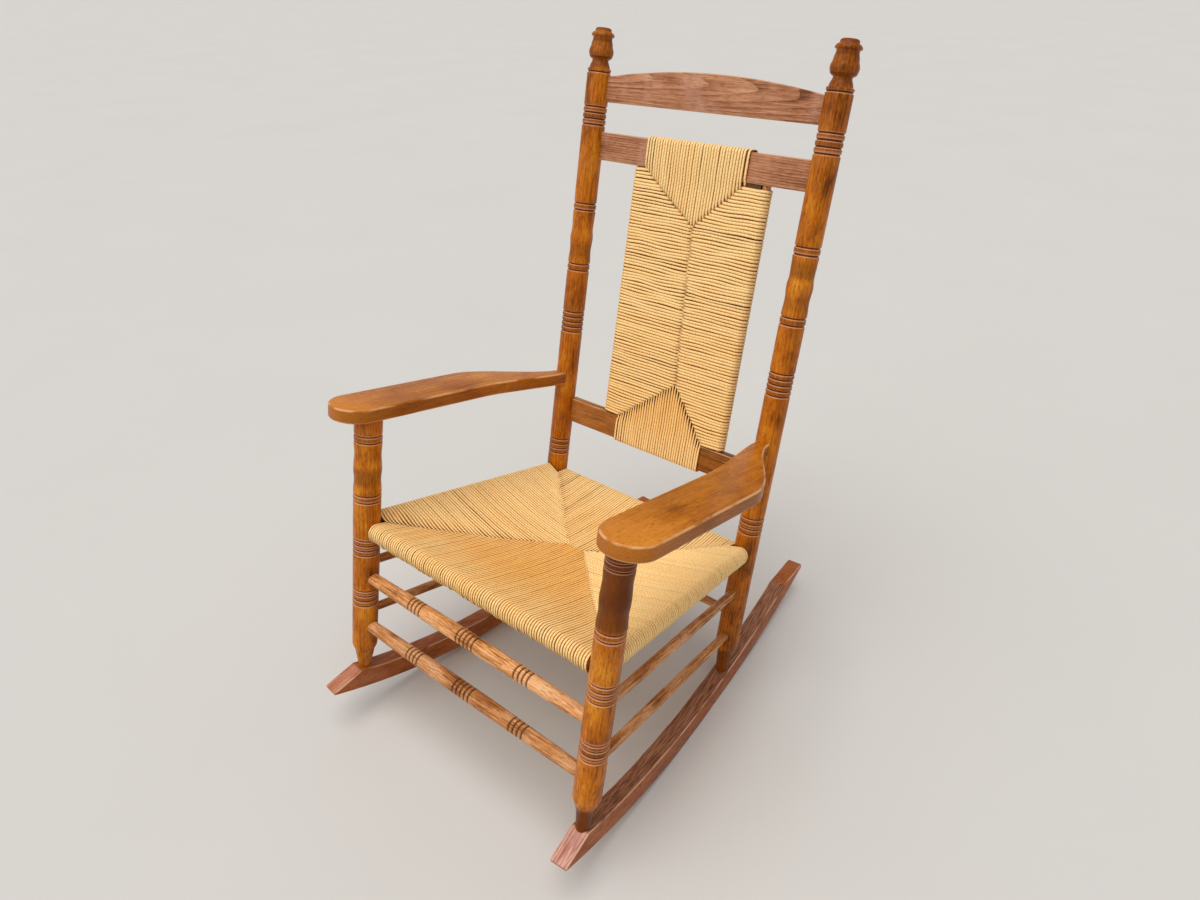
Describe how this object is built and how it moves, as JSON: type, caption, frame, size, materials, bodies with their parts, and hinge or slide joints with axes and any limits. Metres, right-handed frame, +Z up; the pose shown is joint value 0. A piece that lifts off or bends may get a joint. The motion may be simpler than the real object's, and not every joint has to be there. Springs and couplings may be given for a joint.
{
  "type": "rocking chair",
  "caption": "High-backed oak rocking chair with ring-turned posts, flat paddle arms, curved rockers, and a seat and back panel woven from twisted rush cord.",
  "frame": {"origin": "on the floor, under the middle of the chair's box", "axes": "+Z up, -Y the way the chair faces, +X to the right of someone who looks at its front"},
  "size_m": [0.69, 0.9006, 1.1646],
  "materials": {
    "turned_oak": "varnished",
    "board_oak": "varnished",
    "rocker_oak": "worn varnish",
    "paper_rush": "twisted cord",
    "card": "plain",
    "steel": "bright"
  },
  "bodies": {
    "root": {"rear_post_left": "turned_oak", "rear_post_right": "turned_oak", "front_post_left": "turned_oak", "front_post_right": "turned_oak", "front_stretcher_upper": "turned_oak", "front_stretcher_lower": "turned_oak", "side_stretcher_upper_left": "turned_oak", "side_stretcher_upper_right": "turned_oak", "side_stretcher_lower_left": "turned_oak", "side_stretcher_lower_right": "turned_oak", "rear_stretcher": "turned_oak", "arm_left": "board_oak", "arm_right": "board_oak", "crest_rail": "board_oak", "upper_back_rail": "board_oak", "lower_back_rail": "board_oak", "back_stick_left": "board_oak", "back_stick_right": "board_oak", "seat_rail_front": "board_oak", "seat_rail_rear": "board_oak", "seat_rail_left": "board_oak", "seat_rail_right": "board_oak", "rocker_left": "rocker_oak", "rocker_right": "rocker_oak", "rush_seat": "paper_rush", "rush_back": "paper_rush", "seat_padding": "card", "back_padding": "card", "arm_nail_left": "steel", "arm_nail_right": "steel"}
  },
  "joints": []
}
